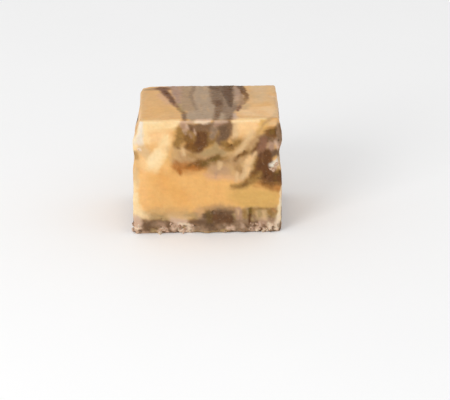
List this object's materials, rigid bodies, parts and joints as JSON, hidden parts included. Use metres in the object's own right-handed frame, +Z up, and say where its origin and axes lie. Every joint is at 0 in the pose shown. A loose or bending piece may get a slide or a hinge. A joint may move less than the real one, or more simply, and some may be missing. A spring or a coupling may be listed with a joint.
{
  "type": "piece of caramel fudge",
  "caption": "Cut block of caramel fudge with chocolate marbled through its upper half, on a wavy base layer of chocolate fudge, with rounded arrises, a crumbly foot and a flat underside.",
  "frame": {"origin": "middle of the footprint, on the plane of the flat underside", "axes": "+Z up from the underside, +X along the wide front face towards its right end, +Y from the front face to the back"},
  "size_m": [0.031, 0.0236, 0.025],
  "materials": {
    "caramel_body": "soft waxy caramel fudge, marbled with chocolate in its upper half",
    "chocolate_base": "matt, grainy chocolate fudge with pale sugary crumbs at the foot"
  },
  "bodies": {
    "root": {"caramel_body": "caramel_body", "chocolate_base": "chocolate_base"}
  },
  "joints": []
}
